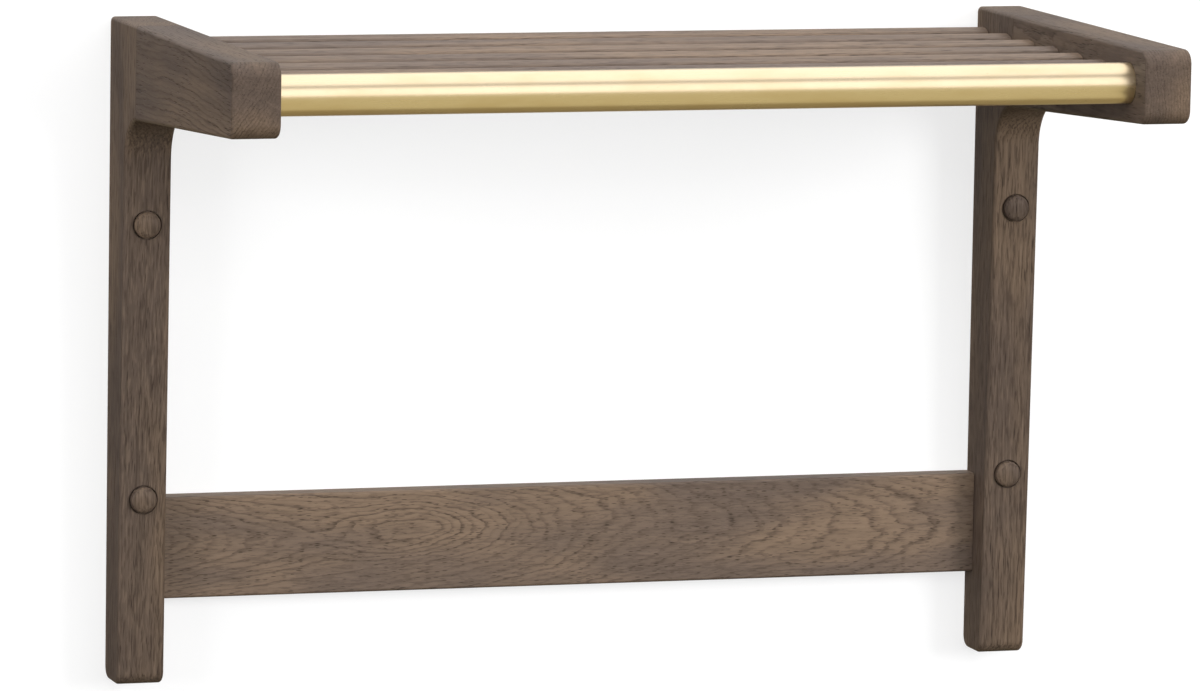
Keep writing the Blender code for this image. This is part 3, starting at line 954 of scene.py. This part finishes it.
def make_dowel(node, axis, number):
    """A fluted dowel with chamfered ends."""
    middle, half, radius = lies_along(node, axis)
    chamfer = radius * 0.2
    crest, valley = 1.0, 0.93
    outline = [crest, crest, valley, valley] * named("fixing").flutes
    profile = [(radius - chamfer, -half), (radius, chamfer - half), (radius, half - chamfer),
               (radius - chamfer, half)]
    bm = turned(profile, len(outline), axis, middle, outline)
    log = in_log(axis, (0.1 + 0.05 * number, 0.08, 0.3 * number), (0.01, 0.01), number)
    add_piece("beech_" + node, bm, kept("raw beech", raw_beech), node, log, 20.0)


# --- studio ---

WHITE = (1.0, 1.0, 1.0)
SKY = 0.50           # strength of the sky's light
ROOM = 5.0           # how far the floor and the backdrops reach
WALL_HALF = 3.0
WALL_TOP = 2.6
WALL_GAP = 0.0006    # hair's breadth between the rack's back and the wall
# name, place, aim, size, watts
SOFTBOXES = (
    ("overhead", (0.30, -0.62, 1.75), (0.30, -0.55, 0.0), (2.2, 1.35), 28.0),
    ("front", (0.35, -3.3, 0.95), (0.1, 0.0, 0.55), (2.8, 2.3), 34.0),
    ("key", (2.6, -3.0, 0.85), (0.0, -0.1, 0.15), (1.4, 1.4), 94.0),
    ("side", (-3.0, -1.6, 0.8), (0.0, -0.1, 0.15), (1.6, 1.6), 70.0),
    ("rear", (-1.2, 3.6, 1.6), (0.0, 0.0, 0.1), (2.4, 1.8), 90.0),
)
# name, X of its two ends, (y, z) of its two long edges, strength, tint
CARDS = (
    ("top card", (-1.5, 2.4), (-1.22, 1.75), (2.2, 1.75), 1.42, WHITE),
    ("front card", (-1.2, 3.0), (-3.3, 0.15), (-3.3, 2.80), 1.52, WHITE),
    ("low card", (-1.5, 3.0), (-3.3, 0.10), (-0.34, -0.9), 0.60, (1.0, 0.92, 0.58)),
    ("under card", (-1.5, 3.0), (-0.34, -0.9), (3.0, -0.9), 0.30, (1.0, 0.84, 0.46)),
)


def flat_sheet(name, corners, material):
    """A sheet of the stage, which neither lights the rack nor shows in its reflections."""
    mesh = bpy.data.meshes.new(name)
    mesh.from_pydata([Vector(c) for c in corners], [], [(0, 1, 2, 3)])
    mesh.materials.append(material)
    ob = placed(name, mesh)
    ob.visible_diffuse = False
    ob.visible_glossy = False
    return ob


def strip(name, ends, near, far, material):
    """A flat sheet whose long edges run along X, each at its own (y, z)."""
    corners = [(ends[0], *near), (ends[1], *near), (ends[1], *far), (ends[0], *far)]
    return flat_sheet(name, corners, material)


def make_card(name, ends, near, far, strength, tint):
    """An evenly lit card that only polished surfaces see."""
    f = Finish(name)
    f.end(f.node("ShaderNodeEmission", {}, {"Color": (*tint, 1.0), "Strength": strength}))
    f.made.cycles.emission_sampling = "NONE"
    ob = strip(name, ends, near, far, f.made)
    ob.visible_glossy = True
    ob.visible_camera = False
    ob.visible_shadow = False


def painted(name, glow, one_sided=True):
    """Matt paint from a roller. One-sided paint shows from the room only, and lets light
    through to what stands against it, so that the rack's back can be seen."""
    tints = named("finishes")
    f = Finish(name)
    place = f.object_place()
    stipple = f.grain(place, (420, 420, 420))
    tone = f.mix(f.grain(place, (2, 2, 2)) * 0.03, tints.paint, tints.paint_thin)
    paint = f.node("ShaderNodeBsdfPrincipled", {},
                   {"Base Color": tone, "Roughness": 0.85, "Normal": f.bump(stipple, 0.05, 0.0004),
                    "Emission Color": (*WHITE, 1.0), "Emission Strength": glow,
                    "Specular IOR Level": 0.0})
    if one_sided:
        behind = f.node("ShaderNodeNewGeometry", out="Backfacing")
        near = f.node("ShaderNodeLightPath", out="Ray Length").ramp(0.012, 0.004)
        clear, hidden = f.node("ShaderNodeBsdfTransparent"), f.maths("MAXIMUM", behind, near)
        paint = f.node("ShaderNodeMixShader", {}, {0: hidden, 1: paint, 2: clear})
    return f.end(paint)


def make_softbox(name, place, aim, size, watts):
    light = bpy.data.lights.new(name, "AREA")
    light.shape = "RECTANGLE"
    light.size, light.size_y = size
    light.energy = watts
    ob = placed(name, light)
    ob.location = place
    ob.rotation_mode = "QUATERNION"
    ob.rotation_quaternion = (Vector(aim) - Vector(place)).to_track_quat("-Z", "Y")
    ob.visible_camera = False
    ob.visible_glossy = False


def make_world():
    """A sky that is bright above the horizon and dim below it."""
    f = Finish("studio", "worlds")
    height = f.node("ShaderNodeTexCoord", out="Generated")
    height = f.node("ShaderNodeSeparateXYZ", {}, {0: height}, "Z")
    dim, bright = (0.43, (0.10, 0.10, 0.10)), (0.58, WHITE)
    sky = f.node("ShaderNodeValToRGB", {"stops": (dim, bright)}, {0: height * 0.5 + 0.5})
    back = f.node("ShaderNodeBackground", {}, {"Color": sky, "Strength": SKY})
    bpy.context.scene.world = f.end(back, "ShaderNodeOutputWorld")


def make_camera():
    """A long lens, well back and to the left, which looks down a little."""
    studio = named("studio")
    turn, tilt, roll = studio.turn, studio.tilt, studio.roll
    ahead = Vector((sin(turn) * cos(tilt), cos(turn) * cos(tilt), sin(tilt)))
    right = Vector((cos(turn), -sin(turn), 0.0))
    up = right.cross(ahead)
    across = cos(roll) * right + sin(roll) * up
    upright = -sin(roll) * right + cos(roll) * up
    data = bpy.data.cameras.new("camera")
    data.sensor_width = 36.0
    data.lens = studio.lens
    data.clip_start, data.clip_end = 0.1, 60.0
    cam = placed("camera", data)
    cam.matrix_world = Matrix.Translation(Vector(studio.place)) @ Matrix(
        (across, upright, -ahead)).transposed().to_4x4()
    bpy.context.scene.camera = cam


def make_room():
    """Floor, wall and four backdrops, pale and matt."""
    tints = named("finishes")
    floor_z = CAD_BOX[0].z - named("studio").floor_drop
    strip("floor", (-ROOM, ROOM), (-ROOM, floor_z), (ROOM, floor_z),
          painted("floor paint", tints.floor_glow, one_sided=False))
    strip("wall", (-WALL_HALF, WALL_HALF), (WALL_GAP, floor_z), (WALL_GAP, WALL_TOP),
          painted("wall paint", tints.wall_glow))
    paint = painted("backdrop paint", tints.room_glow)
    low, high = Vector((0, 0, floor_z)), Vector((0, 0, floor_z + 2 * ROOM))
    for number, (x, y) in enumerate(((1, 0), (0, 1), (-1, 0), (0, -1))):
        a, b = Vector((x + y, y - x, 0)) * ROOM, Vector((x - y, y + x, 0)) * ROOM
        sheet = flat_sheet("backdrop_%d" % (number + 1), [a + low, a + high, b + high, b + low], paint)
        sheet.visible_shadow = False


# --- operators ---

class RACK_OT_uprights(bpy.types.Operator):
    """Build the two uprights"""
    bl_idname = "rack.uprights"
    bl_label = "Uprights"

    def execute(self, context):
        for side in SIDES:
            make_upright(side)
        return {"FINISHED"}


class RACK_OT_arms(bpy.types.Operator):
    """Build the two arms"""
    bl_idname = "rack.arms"
    bl_label = "Arms"

    def execute(self, context):
        for side in SIDES:
            make_arm(side)
        return {"FINISHED"}


class RACK_OT_slats(bpy.types.Operator):
    """Build the shelf slats"""
    bl_idname = "rack.slats"
    bl_label = "Slats"

    def execute(self, context):
        for number, node in enumerate(SLATS):
            make_slat(node, number)
        return {"FINISHED"}


class RACK_OT_tube(bpy.types.Operator):
    """Build the brass hanging tube"""
    bl_idname = "rack.tube"
    bl_label = "Hanging tube"

    def execute(self, context):
        make_tube()
        return {"FINISHED"}


class RACK_OT_rail(bpy.types.Operator):
    """Build the lower wall rail"""
    bl_idname = "rack.rail"
    bl_label = "Wall rail"

    def execute(self, context):
        make_rail()
        return {"FINISHED"}


class RACK_OT_plugs(bpy.types.Operator):
    """Build the button plugs over the wall screws"""
    bl_idname = "rack.plugs"
    bl_label = "Plugs"

    def execute(self, context):
        for number, (side, place) in enumerate(SPOTS):
            make_plug(side, place, number)
        return {"FINISHED"}


class RACK_OT_screws(bpy.types.Operator):
    """Build the wall screws"""
    bl_idname = "rack.screws"
    bl_label = "Wall screws"

    def execute(self, context):
        for side, place in SPOTS:
            make_screw(side, place)
        return {"FINISHED"}


class RACK_OT_dowels(bpy.types.Operator):
    """Build the corner and rail dowels"""
    bl_idname = "rack.dowels"
    bl_label = "Dowels"

    def execute(self, context):
        for number, spot in enumerate(SPOTS):
            make_dowel("corner_dowel_%s_%s" % spot, "Y", 2 * number)
            make_dowel("rail_dowel_%s_%s" % spot, "X", 2 * number + 1)
        return {"FINISHED"}


class RACK_OT_stage(bpy.types.Operator):
    """Set up the wall, floor, lights and camera"""
    bl_idname = "rack.stage"
    bl_label = "Studio"

    def execute(self, context):
        make_world()
        make_camera()
        make_room()
        for box in SOFTBOXES:
            make_softbox(*box)
        for card in CARDS:
            make_card(*card)
        context.scene.view_settings.view_transform = "Standard"
        return {"FINISHED"}


class RACK_PT_panel(bpy.types.Panel):
    """Sidebar panel with every step and its sizes"""
    bl_idname = "RACK_PT_panel"
    bl_label = "Wall rack"
    bl_space_type = "VIEW_3D"
    bl_region_type = "UI"
    bl_category = "Wall rack"

    def draw(self, context):
        for step in STEPS:
            self.layout.operator(step.bl_idname)
        for name, group in GROUPS:
            box = self.layout.box()
            for key in group.__annotations__:
                box.prop(named(name), key)


STEPS = (RACK_OT_stage, RACK_OT_uprights, RACK_OT_arms, RACK_OT_slats, RACK_OT_tube, RACK_OT_rail,
         RACK_OT_plugs, RACK_OT_screws, RACK_OT_dowels)
GROUPS = (("bracket", BracketSizes), ("shelf", ShelfSizes), ("fixing", FixingSizes),
          ("finishes", Finishes), ("studio", StudioSizes))


def register():
    for _, group in GROUPS:
        bpy.utils.register_class(group)
    for name, group in GROUPS:
        setattr(bpy.types.Scene, "rack_" + name, PointerProperty(type=group))
    for step in STEPS + (RACK_PT_panel,):
        bpy.utils.register_class(step)


def unregister():
    for step in (RACK_PT_panel,) + STEPS[::-1]:
        bpy.utils.unregister_class(step)
    for name, group in reversed(GROUPS):
        delattr(bpy.types.Scene, "rack_" + name)
        bpy.utils.unregister_class(group)


def main():
    register()
    for step in STEPS:
        area, name = step.bl_idname.split(".")
        getattr(getattr(bpy.ops, area), name)()


if __name__ == "__main__":
    main()
